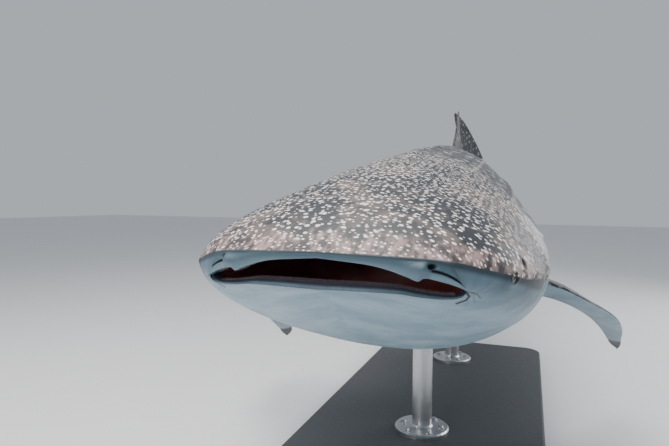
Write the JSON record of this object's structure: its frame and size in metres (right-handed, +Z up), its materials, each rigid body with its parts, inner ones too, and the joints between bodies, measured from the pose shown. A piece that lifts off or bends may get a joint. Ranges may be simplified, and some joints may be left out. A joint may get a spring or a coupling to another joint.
{
  "type": "whale shark model",
  "caption": "Life-size whale shark with a wide, slightly open mouth, ridged flanks and swept fins, level on a flat base with short rods.",
  "frame": {"origin": "middle of the underside of the stand's base", "axes": "+Z up, the shark faces -Y, +X towards the shark's left side"},
  "size_m": [2.1683, 6.3283, 2.5585],
  "materials": {
    "skin": "satin",
    "pale_skin": "satin",
    "eye": "polished",
    "base_board": "painted, matt",
    "steel": "brushed"
  },
  "bodies": {
    "root": {"head": "skin", "gill_region": "skin", "trunk": "skin", "tail_stalk": "skin", "lower_jaw": "pale_skin", "first_dorsal_fin": "skin", "second_dorsal_fin": "skin", "anal_fin": "skin", "tail_fin_upper_lobe": "skin", "tail_fin_lower_lobe": "skin", "pectoral_fin_left": "skin", "pectoral_fin_right": "skin", "pelvic_fin_left": "skin", "pelvic_fin_right": "skin", "eye_left": "eye", "eye_right": "eye", "stand_base": "base_board", "stand_rod_front": "steel", "stand_rod_rear": "steel"}
  },
  "joints": []
}
